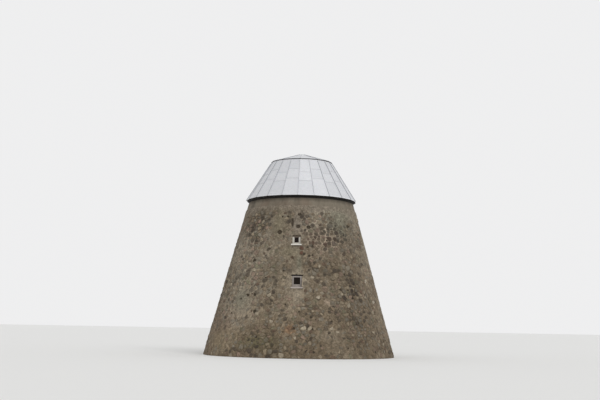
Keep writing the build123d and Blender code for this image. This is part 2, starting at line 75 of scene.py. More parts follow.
def srgb(r, g, b):
    # colours are noted as a picker shows them, 0 to 255
    shares = r / 255, g / 255, b / 255
    return tuple(c / 12.92 if c <= 0.04045 else ((c + 0.055) / 1.055) ** 2.4 for c in shares)


class NodeSet:
    def __init__(self, name):
        self.mat = bpy.data.materials.new(name)
        self.mat.use_nodes = True
        self.tree = self.mat.node_tree
        self.bsdf = self.tree.nodes["Principled BSDF"]
        self.coords = self.add("ShaderNodeTexCoord").outputs["Object"]

    def add(self, kind, **values):
        node = self.tree.nodes.new(kind)
        for key, value in values.items():
            setattr(node, key, value)
        return node

    def link(self, out, socket):
        self.tree.links.new(out, socket)

    def feed(self, value, socket):
        # a number, a colour or another node's output
        if isinstance(value, (int, float)):
            socket.default_value = value
        elif isinstance(value, tuple):
            socket.default_value = (*value, 1)
        else:
            self.link(value, socket)

    def stretched(self, scale):
        mapping = self.add("ShaderNodeMapping")
        mapping.inputs["Scale"].default_value = scale
        self.link(self.coords, mapping.inputs["Vector"])
        return mapping.outputs["Vector"]

    def noise(self, scale, detail=4, rough=0.55, coords=None, distort=0.0):
        node = self.add("ShaderNodeTexNoise")
        node.inputs["Scale"].default_value = scale
        node.inputs["Detail"].default_value = detail
        node.inputs["Roughness"].default_value = rough
        node.inputs["Distortion"].default_value = distort
        self.link(coords or self.coords, node.inputs["Vector"])
        return node.outputs["Fac"]

    def attribute(self, name, output):
        return self.add("ShaderNodeAttribute", attribute_name=name).outputs[output]

    def ramp(self, fac, stops):
        node = self.add("ShaderNodeValToRGB")
        while len(node.color_ramp.elements) < len(stops):
            node.color_ramp.elements.new(0.5)
        for element, (place, colour) in zip(node.color_ramp.elements, stops):
            element.position = place
            element.color = (*colour, 1)
        self.link(fac, node.inputs["Fac"])
        return node.outputs["Color"]

    def grade(self, fac, low, high, toLow=0.0, toHigh=1.0):
        node = self.add("ShaderNodeMapRange")
        for key, value in (("From Min", low), ("From Max", high), ("To Min", toLow), ("To Max", toHigh)):
            node.inputs[key].default_value = value
        self.link(fac, node.inputs["Value"])
        return node.outputs["Result"]

    def mix(self, share, a, b, blend="MIX"):
        node = self.add("ShaderNodeMix", data_type="RGBA", blend_type=blend)
        for value, socket in ((share, node.inputs[0]), (a, node.inputs[6]), (b, node.inputs[7])):
            self.feed(value, socket)
        return node.outputs[2]

    def overlay(self, share, base, fac, dark, light):
        # dark and light are (place in the noise, grey or colour); a half leaves the base as it is
        stops = [(place, tone if isinstance(tone, tuple) else (tone,) * 3) for place, tone in (dark, light)]
        return self.mix(share, base, self.ramp(fac, stops), "OVERLAY")

    def maths(self, operation, a, b=0.0):
        node = self.add("ShaderNodeMath", operation=operation)
        self.feed(a, node.inputs[0])
        self.feed(b, node.inputs[1])
        return node.outputs[0]

    def axis(self, which, coords=None):
        node = self.add("ShaderNodeSeparateXYZ")
        self.link(coords or self.coords, node.inputs[0])
        return node.outputs[which]

    def bump(self, heights):
        # heights is a list of (output, depth in metres), coarse first
        normal = None
        for out, depth in heights:
            node = self.add("ShaderNodeBump")
            node.inputs["Strength"].default_value = 1.0
            node.inputs["Distance"].default_value = depth
            self.link(out, node.inputs["Height"])
            if normal:
                self.link(normal, node.inputs["Normal"])
            normal = node.outputs["Normal"]
        self.link(normal, self.bsdf.inputs["Normal"])

    def finish(self, colour, roughness, metallic=0.0, specular=0.5):
        self.feed(colour, self.bsdf.inputs["Base Color"])
        self.feed(roughness, self.bsdf.inputs["Roughness"])
        self.bsdf.inputs["Metallic"].default_value = metallic
        self.bsdf.inputs["Specular IOR Level"].default_value = specular
        return self.mat


wallLook = {
    "stainDark": (0.36, 0.35, 0.33),  # broad stains, each side of a middle grey
    "stainLight": (0.62, 0.62, 0.63),
    "mottle": 0.5,
    "runs": srgb(76, 70, 56),  # dirt washed down the wall
    "runsMost": 0.28,
    # painted shade inside the pits, from dark to a little lighter
    "pit": srgb(56, 49, 39),
    "pitShadeGrit": srgb(76, 67, 54),
    "pitBowl": 0.05,  # depths in metres
    "trowelled": 0.02,
    "grain": 0.004,
    "stoneGrain": 0.004,
    "pitted": 0.009,
    "mortarRough": 0.92,
    "stoneRough": 0.86,
}
mortarLook = {"light": srgb(136, 126, 110), "mid": srgb(118, 108, 93), "dark": srgb(96, 86, 73)}


def weathered(m, base):
    # the same broad stains run over stones and mortar alike
    stains = m.noise(0.45, 4, 0.55)
    base = m.overlay(0.5, base, stains, (0.3, wallLook["stainDark"]), (0.7, wallLook["stainLight"]))
    base = m.overlay(wallLook["mottle"], base, m.noise(14, 2, 0.5), (0.36, (0.3, 0.3, 0.29)), (0.64, 0.7))
    runs = m.noise(1.0, 4, 0.6, m.stretched((2.6, 2.6, 0.3)))
    return m.mix(m.grade(runs, 0.5, 0.75, 0, wallLook["runsMost"]), base, wallLook["runs"])


def beddingMortar():
    # the wall's own face, seen in the joints and the reveals
    m = NodeSet("beddingMortar")
    tones = [(0.3, mortarLook["dark"]), (0.5, mortarLook["mid"]), (0.72, mortarLook["light"])]
    grain = m.noise(55, 6, 0.7)
    base = m.overlay(0.5, m.ramp(m.noise(1.3, 5, 0.6), tones), grain, (0.25, 0.25), (0.75, 0.78))
    m.bump([(m.noise(9, 4, 0.6), 0.012), (grain, wallLook["grain"])])
    return m.finish(base, wallLook["mortarRough"], specular=0.25)


def wipedMortar():
    m = NodeSet("wipedMortar")
    patchy = m.noise(6, 5, 0.65)
    grain = m.noise(48, 6, 0.75)
    base = m.overlay(0.6, m.attribute("mortarTint", "Color"), patchy, (0.3, (0.28, 0.27, 0.26)), (0.7, 0.72))
    base = m.overlay(0.5, base, grain, (0.28, 0.26), (0.72, 0.76))
    # a pit has a ragged rim: its depth is known only at the mesh's points, so noise breaks it up
    torn = m.maths("MULTIPLY", m.maths("SUBTRACT", m.noise(9, 3, 0.55), 0.5), 0.8)
    ragged = m.maths("ADD", m.attribute("pitDepth", "Fac"), torn)
    hollow = m.grade(ragged, 0.46, 0.6)
    bowl = m.grade(ragged, 0.3, 1.3)
    # painted shade: the inside of a pit is dark, mottled by noise
    paintedPitShade = m.mix(m.grade(m.noise(17, 5, 0.7), 0.38, 0.66), wallLook["pit"], wallLook["pitShadeGrit"])
    base = m.mix(hollow, weathered(m, base), paintedPitShade)
    trowel = m.noise(5, 3, 0.5, m.stretched((1, 1, 2.2)), 1.2)
    m.bump([
        (trowel, wallLook["trowelled"]), (bowl, -wallLook["pitBowl"]), (hollow, -0.003),
        (patchy, 0.01), (grain, wallLook["grain"]),
    ])
    return m.finish(base, wallLook["mortarRough"], specular=0.25)


def fieldstoneFinish():
    m = NodeSet("fieldstone")
    speckle = m.noise(70, 5, 0.75)
    cloud = m.noise(8, 4, 0.6)
    base = m.overlay(0.75, m.attribute("stoneTint", "Color"), speckle, (0.3, 0.26), (0.7, 0.76))
    base = m.overlay(0.5, base, cloud, (0.3, (0.32, 0.31, 0.30)), (0.7, (0.68, 0.68, 0.67)))
    m.bump([(cloud, wallLook["pitted"]), (speckle, wallLook["stoneGrain"])])
    return m.finish(weathered(m, base), wallLook["stoneRough"], specular=0.3)


renderLook = {
    "light": srgb(128, 119, 105),
    "mid": srgb(115, 107, 94),
    "dark": srgb(94, 87, 76),
    "warm": srgb(116, 98, 84),  # patches
    "eaveShadow": srgb(58, 53, 46),  # painted shadow of the eave on the band's top
    "eaveShadowFrom": (0.16, -0.07),  # metres below the band's top, from no painted shadow to full
    "eaveShadowMost": 0.75,
}


def bandRender():
    m = NodeSet("bandRender")
    drips = m.noise(1.4, 4, 0.6, m.stretched((1.6, 1.6, 0.25)))
    base = m.ramp(drips, [(0.32, renderLook["dark"]), (0.5, renderLook["mid"]), (0.7, renderLook["light"])])
    base = m.mix(m.grade(m.noise(0.9, 3), 0.45, 0.7, 0, 0.6), base, renderLook["warm"])
    # painted shadow: the band darkens towards its top, under the eave, with a ragged lower edge
    level = m.maths("ADD", m.axis(2), m.maths("MULTIPLY", m.noise(2.5, 3), 0.12))
    underEave = m.grade(level, *(beamTop - depth for depth in renderLook["eaveShadowFrom"]))
    base = m.mix(m.maths("MULTIPLY", underEave, renderLook["eaveShadowMost"]), base, renderLook["eaveShadow"])
    fine = m.noise(38, 5, 0.65)
    base = m.overlay(0.45, base, fine, (0.3, 0.3), (0.7, 0.72))
    m.bump([(m.noise(4, 3), 0.02), (fine, 0.003)])
    return m.finish(base, 0.9, specular=0.25)


sheetLook = {
    "dull": srgb(192, 194, 197),
    "mid": srgb(207, 208, 211),
    "bright": srgb(219, 220, 222),
    "perSheet": 0.3,  # how far one sheet differs from the next
    "draw": 408,  # which sheets come out bright or dull
    "bays": 22,
    "welts": ((0.39, 0.07), (0.63, 0.09)),  # share of the slope, and how much higher in every other bay
    # the painted shadow under each welt
    "weltShadow": srgb(110, 112, 116),
    # painted shade on the flanks of the standing seams
    "seamSideShade": srgb(160, 162, 166),
    "streaks": 0.7,
    "spangle": 0.12,
    "roughness": 0.45,
}
roofFoot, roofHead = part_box("drip_edge")[0].z + 0.02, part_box("roof_sheets")[1].z


def sheetByBay(m, base, tones):
    # a tone for each sheet, and a painted shadow under each welt as a thin dark line
    turn = m.maths("ARCTAN2", m.axis(1), m.axis(0))
    perTurn = sheetLook["bays"] / (2 * math.pi)
    bay = m.maths("FLOOR", m.maths("MULTIPLY", m.maths("ADD", turn, 2.5 * math.pi), perTurn))
    odd = m.maths("MODULO", bay, 2.0)
    rise = m.grade(m.axis(2), roofFoot, roofHead)
    course = m.maths("ADD", bay, sheetLook["draw"])
    for welt, shift in sheetLook["welts"]:
        edge = m.maths("ADD", m.maths("MULTIPLY", odd, shift), welt)
        above = m.maths("GREATER_THAN", rise, edge)
        course = m.maths("ADD", course, m.maths("MULTIPLY", above, 37.3))
        # painted shadow: a thin dark line just below each welt
        line = m.maths("ABSOLUTE", m.maths("SUBTRACT", rise, m.maths("SUBTRACT", edge, 0.006)))
        base = m.mix(m.grade(line, 0.004, 0.012, 0.32, 0.0), base, sheetLook["weltShadow"])
    each = m.add("ShaderNodeTexWhiteNoise", noise_dimensions="1D")
    m.link(course, each.inputs["W"])
    shades = m.ramp(each.outputs["Value"], list(zip((0.0, 0.5, 1.0), tones)))
    return m.mix(sheetLook["perSheet"], base, shades)


def galvanised(name, shade=1.0, metallic=0.25, laid=False, sides=None):
    m = NodeSet(name)
    tones = [tuple(c * shade for c in sheetLook[key]) for key in ("dull", "mid", "bright")]
    base = tones[1]
    if laid:
        base = sheetByBay(m, base, tones)
    # painted shade: faces that look sideways rather than up get a darker colour
    if sides:
        upward = m.axis(2, m.add("ShaderNodeNewGeometry").outputs["Normal"])
        base = m.mix(m.grade(upward, 0.12, 0.36, 1, 0), base, sides)
    runs = m.noise(2.5, 4, 0.6, m.stretched((4.0, 4.0, 0.25)))
    base = m.mix(m.grade(runs, 0.45, 0.75, 0, 0.35), base, tones[0])
    streaks = m.noise(3.0, 5, 0.65, m.stretched((9, 9, 0.5)))
    base = m.overlay(sheetLook["streaks"], base, streaks, (0.34, 0.42), (0.66, (0.57, 0.57, 0.58)))
    spangle = m.add("ShaderNodeTexVoronoi", feature="F1")
    spangle.inputs["Scale"].default_value = 60
    m.link(m.coords, spangle.inputs["Vector"])
    base = m.mix(sheetLook["spangle"], base, spangle.outputs["Color"], "SOFT_LIGHT")
    m.bump([(m.noise(1.8, 2, 0.4), 0.02), (m.noise(22, 3), 0.0008)])
    rough = m.grade(runs, 0.3, 0.7, sheetLook["roughness"] - 0.06, sheetLook["roughness"] + 0.12)
    return m.finish(base, rough, metallic)


timbers = {  # grain is finer along the larger numbers
    # dark weathered timber, darkened further as painted shade under the eave
    "shadedEaveTimber": {"light": srgb(38, 34, 30), "dark": srgb(20, 18, 16), "grain": (4, 4, 4)},
    "lintelTimber": {"light": srgb(72, 62, 52), "dark": srgb(38, 32, 27), "grain": (1.2, 14, 14)},
    # dark timber, darkened further as painted shade in the recess over the frames
    "shadedLintelTimber": {
        "light": srgb(40, 34, 30), "dark": srgb(20, 17, 15), "grain": (1.2, 14, 14),
        "wiped": mortarLook["dark"],  # mortar wiped over the lintels of the upper windows
    },
    "doorTimber": {"light": srgb(104, 88, 72), "dark": srgb(58, 47, 38), "grain": (14, 14, 1.2)},
    "roofTimber": {"light": srgb(150, 122, 88), "dark": srgb(104, 80, 54), "grain": (4, 4, 4)},
    "beamTimber": {"light": srgb(112, 88, 62), "dark": srgb(70, 52, 36), "grain": (10, 0.8, 10)},
    "floorTimber": {"light": srgb(134, 108, 78), "dark": srgb(88, 68, 46), "grain": (0.8, 10, 10)},
}


def sawnTimber(name):
    m = NodeSet(name)
    look = timbers[name]
    grain = m.noise(5, 7, 0.7, m.stretched(look["grain"]), 0.4)
    base = m.ramp(grain, [(0.3, look["dark"]), (0.7, look["light"])])
    base = m.overlay(0.5, base, m.noise(1.7, 3), (0.3, 0.34), (0.7, 0.66))
    if "wiped" in look:
        base = m.mix(m.maths("GREATER_THAN", m.axis(2), betweenRows), base, look["wiped"])
    m.bump([(grain, 0.002)])
    return m.finish(base, 0.8, specular=0.3)


# left is about the share of paint that still holds, bareHead the metres under the frame's top painted dark
# as shadow from the reveal's head, and lowerRow the paint of the lower windows
paints = {
    "greyedPaint": {"paint": srgb(174, 165, 158), "bareAndShade": srgb(110, 99, 92), "left": 0.6},
    # its bare colour also serves as the painted shadow on the head rail
    "whitePaint": {"paint": srgb(224, 219, 208), "bareAndShade": srgb(84, 72, 60), "left": 0.68, "bareHead": 0.075},
    "sillPaint": {
        "paint": srgb(246, 241, 232), "bareAndShade": srgb(140, 130, 118), "left": 0.7,
        "lowerRow": srgb(196, 185, 178),
    },
}


def flakedPaint(name):
    m = NodeSet(name)
    look = paints[name]
    paint, bareAndShade = look["paint"], look["bareAndShade"]
    dirt = m.noise(9, 5, 0.65, m.stretched((1, 1, 0.5)))
    worn = m.grade(m.noise(26, 5, 0.7), look["left"], look["left"] + 0.05)
    if "lowerRow" in look:
        paint = m.mix(m.maths("LESS_THAN", m.axis(2), betweenRows), paint, look["lowerRow"])
    dirty = m.mix(0.35, paint, (0.1, 0.1, 0.1), "MULTIPLY")
    base = m.mix(m.grade(dirt, 0.4, 0.75, 0, 0.35), dirty, paint)
    base = m.mix(worn, base, bareAndShade)
    if "bareHead" in look:
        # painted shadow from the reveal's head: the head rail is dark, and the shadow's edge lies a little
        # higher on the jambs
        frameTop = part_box("front_upper_frame")[1]
        jamb = m.maths("GREATER_THAN", m.maths("ABSOLUTE", m.axis(0)), frameTop.x - 0.1)
        lift = m.maths("MULTIPLY", jamb, 0.04)
        ragged = m.maths("SUBTRACT", m.maths("MULTIPLY", m.noise(30, 3), 0.03), lift)
        edge = frameTop.z - look["bareHead"]
        base = m.mix(m.grade(m.maths("ADD", m.axis(2), ragged), edge, edge + 0.02), base, bareAndShade)
    m.bump([(worn, -0.0012), (m.noise(60, 3), 0.0006)])
    return m.finish(base, 0.6, specular=0.4)


metals = {
    # dark enough to stand for the shadow line under the cap's edge: painted shade
    "darkSheet": {"colour": srgb(52, 52, 56), "roughness": 0.5, "metallic": 0.4},
    "blackIron": {"colour": srgb(40, 38, 37), "roughness": 0.6, "metallic": 0.6},
}


def plainMetal(name):
    m = NodeSet(name)
    look = metals[name]
    patina = m.noise(18, 5, 0.65)
    worn, bright = [tuple(c * change for c in look["colour"]) for change in (0.7, 1.25)]
    base = m.mix(m.grade(patina, 0.35, 0.7), worn, bright)
    m.bump([(m.noise(45, 4), 0.0008)])
    rough = m.grade(patina, 0.3, 0.7, look["roughness"] - 0.1, look["roughness"] + 0.12)
    return m.finish(base, rough, look["metallic"])


def darkPane():
    m = NodeSet("darkPane")
    m.bump([(m.noise(2, 2), 0.002)])
    # opaque and nearly black: painted shade of the dark room behind the glass
    return m.finish(m.mix(m.noise(6, 3), srgb(16, 11, 8), srgb(34, 26, 20)), 0.22, specular=0.1)


def dress(mat, *names):
    for name in names:
        nodes[name].data.materials.clear()
        nodes[name].data.materials.append(mat)


stoneMat = fieldstoneFinish()
wipedMat = wipedMortar()
ironMat = plainMetal("blackIron")
print("materials made")

dress(beddingMortar(), *(name for name in nodes if name.endswith("_wall") or name.startswith("door_pier")))
dress(bandRender(), "ring_beam", "threshold", "ground_floor")
dress(galvanised("roofSheet", laid=True), "roof_sheets", "cap_sheets", "apex_cap")
# the seams: a slightly darker copy of the sheet metal, with painted shade on their flanks
dress(galvanised("seamMetal", 0.94, sides=sheetLook["seamSideShade"]), "standing_seams", "cap_seams")
# the drip edge: a brighter copy of the sheet metal, painted light on the lip that faces the sky
dress(galvanised("litDripMetal", 1.06, metallic=0.15), "drip_edge")
# the rim apron: painted shade for the line under the cap's edge
dress(plainMetal("darkSheet"), "rim_apron")
dress(sawnTimber("shadedEaveTimber"), "eave_boards", "wall_plate")
dress(sawnTimber("lintelTimber"), "door_lintel")
dress(sawnTimber("shadedLintelTimber"), "window_lintels")
dress(flakedPaint("greyedPaint"), "front_lower_frame", "back_lower_frame")
dress(flakedPaint("whitePaint"), "front_upper_frame", "back_upper_frame")
dress(flakedPaint("sillPaint"), "window_sills")
dress(darkPane(), "window_panes")
dress(sawnTimber("doorTimber"), "door_leaf", "door_frame")
dress(ironMat, "door_hinges", "door_latch")
dress(
    sawnTimber("roofTimber"),
    "rafters", "upper_curb", "cap_rafters", "king_block", "roof_boarding", "cap_boarding",
)
dress(sawnTimber("beamTimber"), "first_floor_beams", "second_floor_beams")
dress(sawnTimber("floorTimber"), "first_floor_boards", "second_floor_boards")
print("frame dressed")


# the face of the wall: fieldstones laid in wavering courses, and the mortar wiped over their joints

def angleApart(a, b):
    return (a - b + np.pi) % (2 * np.pi) - np.pi


def rough(points, scale, shift=0.0, octaves=3):
    # soft noise at each point, about -1 to 1
    away = Vector((shift, -shift, shift))
    return np.array([noise.fractal(Vector(p) * scale + away, 1.0, 2.0, octaves) for p in points])


mortarTones = {
    "high": (130, 122, 109),
    "low": (122, 108, 88),
    "underBand": (117, 108, 96),
    "light": (143, 133, 117),
    "pale pink": (164, 147, 130),
    "sand": (134, 120, 98),
    "pink": (128, 109, 95),
    "grey": (112, 105, 95),
    "grey green": (110, 107, 93),
    "olive": (123, 115, 96),
    "moss": (100, 97, 70),
    "brown": (98, 86, 70),
    "dark": (76, 68, 58),
    "rust": (128, 95, 68),
}


def mortarTone(name):
    return np.array(srgb(*mortarTones[name]))


# where the mortar differs. Degrees count from the front towards the right, then height and reach.
# cover wipes more or less mortar over the stones, stones makes them lighter or darker, flush fills joints
wallPatches = [
    dict(at=(-40, 6.9), reach=(13, 0.9), cover=-0.34, tone="dark", mix=0.4, stones=1.2),
    dict(at=(-17, 7.1), reach=(6, 0.9), cover=0.42, tone="olive", mix=0.7),
    dict(at=(0.5, 7.1), reach=(4, 0.6), cover=0.6, tone="grey", mix=0.9),
    dict(at=(28, 6.42), reach=(24, 0.78), cover=-0.08, tone="pale pink", mix=0.6, stones=0.35, flush=0.9),
    dict(at=(43, 7.0), reach=(9, 0.7), cover=0.1, tone="grey green", mix=0.85, stones=0.72),
    dict(at=(38, 7.3), reach=(17, 0.8), cover=0.15, tone="grey green", mix=0.72, stones=0.76),
    dict(at=(48, 7.8), reach=(10, 0.35), cover=0.4, tone="grey green", mix=0.6),
    dict(at=(-5, 5.55), reach=(9, 0.3), cover=0.42, tone="olive", mix=0.7),
    dict(at=(2.6, 4.9), reach=(2.2, 0.45), cover=0.8, tone="grey green", mix=0.9),
    dict(at=(0.9, 4.1), reach=(4.5, 0.55), cover=0.5, tone="light", mix=0.6),
    dict(at=(1.9, 3.15), reach=(2.6, 0.45), cover=0.7, tone="light", mix=0.8),
    dict(at=(-42, 4.7), reach=(24, 1.5), cover=0.14, tone="light", mix=0.8, stones=1.22),
    dict(at=(-40, 3.0), reach=(8, 0.6), cover=0.35, tone="grey green", mix=0.7),
    dict(at=(-58, 1.8), reach=(16, 0.6), cover=0.0, tone="pink", mix=0.6),
    dict(at=(46, 4.3), reach=(22, 1.9), cover=0.08, tone="brown", mix=0.8, stones=0.9),
    dict(at=(46, 1.7), reach=(26, 1.7), cover=0.05, tone="brown", mix=0.85, stones=0.86),
    dict(at=(22, 2.95), reach=(3.5, 0.2), cover=0.1, tone="pale pink", mix=0.7),
    dict(at=(-2, 1.45), reach=(4, 0.28), cover=0.2, tone="rust", mix=0.6),
    dict(at=(6, 0.6), reach=(18, 0.5), cover=0.0, tone="brown", mix=0.7, stones=0.88),
    dict(at=(-50, 0.8), reach=(20, 0.7), cover=0.1, tone="sand", mix=0.8, stones=1.15),
    dict(at=(-20, 0.8), reach=(12, 0.35), cover=0.1, tone="moss", mix=0.6),
    dict(at=(95, 6.2), reach=(14, 0.9), cover=0.4, tone="olive", mix=0.6),
    dict(at=(112, 3.1), reach=(16, 1.1), cover=-0.25, tone="dark", mix=0.5),
    dict(at=(140, 5.9), reach=(12, 0.8), cover=0.1, tone="pale pink", mix=0.7, stones=0.7),
    dict(at=(180, 6.9), reach=(4, 0.7), cover=0.6, tone="grey", mix=0.8),
    dict(at=(180, 4.3), reach=(5, 1.1), cover=0.5, tone="light", mix=0.6),
    dict(at=(180, 2.6), reach=(13, 0.35), cover=0.35, tone="light", mix=0.6),
    dict(at=(208, 6.6), reach=(12, 0.8), cover=-0.3, tone="dark", mix=0.6),
    dict(at=(222, 3.3), reach=(14, 1.0), cover=0.15, tone="pink", mix=0.5),
    dict(at=(262, 5.0), reach=(16, 1.2), cover=0.3, tone="grey green", mix=0.6),
]

# pits that lost stones have left: degrees, height, half width, half height
pits = [
    (-35.2, 5.1, 0.12, 0.11), (-26.4, 2.38, 0.1, 0.12), (-15.2, 6.64, 0.14, 0.12), (-34.7, 3.23, 0.15, 0.08),
    (-28.7, 3.25, 0.09, 0.09), (-4.2, 7.18, 0.06, 0.26), (10.4, 6.92, 0.13, 0.1), (1.2, 6.95, 0.11, 0.1),
    (52.8, 7.11, 0.12, 0.1), (33.0, 3.6, 0.08, 0.08), (2.2, 7.62, 0.12, 0.08), (148, 4.1, 0.11, 0.1),
    (214, 5.3, 0.11, 0.09), (100, 4.6, 0.09, 0.1), (-92, 5.4, 0.11, 0.09), (-120, 3.0, 0.1, 0.1),
]
smallPits = {
    "seed": 5,
    "count": 130,
    "size": (0.03, 0.075),
    "squat": (0.6, 1.1),  # height for its width
    "taper": (0.72, 0.48),  # fewer higher up, where the wall is narrower
    "highest": 7.5,
}


def scatterPits():
    rng = random.Random(smallPits["seed"])
    reach, taper = smallPits["taper"]
    flat, tall = smallPits["squat"]
    for _ in range(smallPits["count"]):
        level = masonryTop * (1 - math.sqrt(1 - reach * rng.random())) / taper
        size = rng.uniform(*smallPits["size"])
        level = min(level, smallPits["highest"])
        pits.append((rng.uniform(0, 360), level, size, size * rng.uniform(flat, tall)))


scatterPits()

wallDrift = {
    "cover": 0.42,  # share of a stone that mortar hides, on average
    "broad": (0.42, 0.42),  # how far cover swings, and in how many waves a metre
    "fine": (0.16, 1.6),
    "tone": (1.4, 0.5, 0.6),  # the same for the mortar's tone, and the most it may do
    "foot": (1.9, 1.6, 0.6),  # the brown foot: top, metres to full, share
    "ragged": (0.35, 1.3),  # the rims of the patches
    "top": (0.38, 0.25),  # smeared under the band: metres below it, metres to full
    "topRagged": (0.22, 0.9),
    "topCover": 0.8,
    "topTone": 0.7,
}


def wallCharacter(along, z, points):
    # mortar cover, mortar colour, the stones' brightness and how full the joints are at these places
    d = wallDrift
    (broad, wide), (fine, close) = d["broad"], d["fine"]
    cover = d["cover"] + broad * rough(points, wide, 7) + fine * rough(points, close, 3)
    up = np.clip(z / masonryTop, 0, 1)[:, None]
    tone = mortarTone("low") * (1 - up) + mortarTone("high") * up

    def towards(name, share):
        return (mortarTone(name) - tone) * share[:, None]

    gain, waves, most = d["tone"]
    swing = rough(points, waves, 21)
    tone += towards("light", np.clip(swing * gain, 0, most))
    tone += towards("brown", np.clip(-swing * gain, 0, most))
    footTop, fade, share = d["foot"]
    tone += towards("brown", np.clip((footTop - z) / fade, 0, 1) * share)
    stones, flush = np.ones(len(z)), np.zeros(len(z))
    ragged = 1 + d["ragged"][0] * rough(points, d["ragged"][1], 40)
    for patch in wallPatches:
        middle, height = patch["at"]
        across = np.degrees(angleApart(along, math.radians(middle))) / patch["reach"][0]
        up = (z - height) / patch["reach"][1]
        amount = np.exp(-((across ** 2 + up ** 2) * ragged) ** 1.3)
        cover += patch["cover"] * amount
        tone += towards(patch["tone"], amount * patch["mix"])
        stones += (patch.get("stones", 1.0) - 1) * amount
        flush += patch.get("flush", 0.0) * amount
    below, fade = d["top"]
    wave = d["topRagged"][0] * rough(points, d["topRagged"][1], 60)
    nearTop = np.clip((z - masonryTop + below + wave) / fade, 0, 1)
    cover += nearTop * d["topCover"]
    tone += towards("underBand", nearTop * d["topTone"])
    return np.clip(cover, 0, 1), tone, stones, np.clip(flush, 0, 1)


def pitDepth(along, z):
    # 1 in the middle of a pit, 0 outside
    depth = np.zeros(len(z))
    for middle, height, half, tall in pits:
        x = angleApart(along, math.radians(middle)) * wallRadius(height)
        depth = np.maximum(depth, np.clip(1.5 - np.hypot(x / half, (z - height) / tall), 0, 1))
    return depth


openingWork = {
    "underFrame": 0.03,  # how far the mortar stops below a window's frame
    "lintel": (0.002, 0.068),  # its foot and top over the frame
    "lintelEnds": {"lower": 0.05, "upper": 0.0},
    "bareSides": 0.03,  # no stone this close beside a frame
    "bareHead": 0.10,
    "bareSill": (0.08, 0.10, 0.02),  # nor at the sill: beside, below, above
    "sillShadow": {"lower": 0.6, "upper": 1.0},  # painted shadow under the sill
    "sillShadowAt": (0.09, 0.125, 0.07),  # beyond the frame's side, below its foot, reach
    "door": 0.01,
    "bareDoor": 0.02,
}

# openings as (angle of the middle, half width, low, high): the first list is cut out of the mortar,
# the second is kept clear of stones
cuts, clearings = [], []


def openWindow(facing, side, row):
    w = openingWork
    low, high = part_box(f"{facing}_{row}_frame")
    half = (high.x - low.x) / 2
    middle = (0 if side > 0 else math.pi) + side * (high.x + low.x) / 2 / wallRadius(high.z)
    ends = w["lintelEnds"][row]
    lintelFoot, lintelTop = (high.z + height for height in w["lintel"])
    cuts.append((middle, half, low.z - w["underFrame"], lintelTop))
    cuts.append((middle, half + ends, lintelFoot, lintelTop))
    clearings.append((middle, half + w["bareSides"] + ends, low.z, high.z + w["bareHead"]))
    beside, below, above = w["bareSill"]
    clearings.append((middle, half + beside, low.z - below, low.z + above))
    # painted shadow: a dark patch of mortar just below the sill
    beyond, drop, reach = w["sillShadowAt"]
    wallPatches.append(dict(
        at=(math.degrees(middle), low.z - drop),
        reach=(math.degrees((half + beyond) / wallRadius(low.z)), reach),
        cover=0.3, tone="dark", mix=w["sillShadow"][row],
    ))


def openDoor():
    w = openingWork
    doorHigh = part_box("door_frame")[1]
    low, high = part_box("door_lintel")
    cuts.append((math.pi, doorHigh.x, -1.0, doorHigh.z + w["door"]))
    cuts.append((math.pi, high.x, low.z, high.z))
    clearings.append((math.pi, doorHigh.x + w["bareDoor"], -1.0, doorHigh.z))
    clearings.append((math.pi, high.x + w["bareDoor"], low.z - w["bareDoor"], high.z + w["bareDoor"]))


for facing, side in (("front", 1), ("back", -1)):
    for row in ("lower", "upper"):
        openWindow(facing, side, row)
openDoor()


def nearestEdge(along, z, opening):
    # offset to the nearest point of an opening's edge or inside, and whether it is inside
    middle, half, low, high = opening
    x = angleApart(along, middle) * wallRadius(z)
    nx = min(max(x, -half), half)
    nz = min(max(z, low), high)
    return nx - x, (nz - z) * slant, abs(x) < half and low < z < high


stoneWork = {
    "seed": 11,
    "foot": 0.06,  # where the first course starts
    "margin": 0.03,  # no stone's middle nearer to the ground or the band
    "course": (0.12, 0.25),  # height of a course
    "width": (0.14, 0.43),
    "jitter": 0.34,  # share of the spacing that a stone strays
    "weight": (0.6, 1.5),  # how hard a stone pushes its neighbours away
    "big": (0.12, 1.5),  # chance of a big one, and how much heavier it is
    "apart": 0.17,  # least distance from a known stone
    "joint": 0.018,
    "neighbours": 13,
    "least": 0.02,  # no outline comes nearer to a stone's middle
    "corners": 14,
    "roundness": 8.0,  # lower is rounder
    "bulge": (0.024, 0.054),
    "uneven": 0.06,
    "tilt": ((-0.16, 0.16), (-0.18, 0.10)),  # sideways, and mostly leaning back
    "facet": (0.05, 0.45),  # slope of a broken face
    # from the joint up to the face: share of the outline, share of the bulge, mortar on it, brightness, lower
    # near the joint for grime and painted shade in the crease
    "rings": (
        (1.0, -0.25, 0.6, 0.62), (0.96, 0.45, 0.45, 0.74), (0.84, 0.88, 0.22, 0.94), (0.5, 1.0, 0.08, 1.0),
    ),
    "pitPush": 7.0,  # a pit's weight for its half width
    "brightness": (0.74, 1.26),
    "wiped": (0.1, 0.75),  # share of the mortar's cover that stays on a face
}
stoneTones = {  # colour, share
    "brown": ((108, 95, 78), 24),
    "grey": ((108, 102, 91), 20),
    "sand": ((130, 118, 100), 14),
    "pink": ((122, 104, 91), 9),
    "pale": ((150, 140, 123), 3),
    "dark": ((66, 58, 50), 14),
    "red brown": ((88, 70, 58), 4),
    "olive": ((100, 96, 78), 4),
}
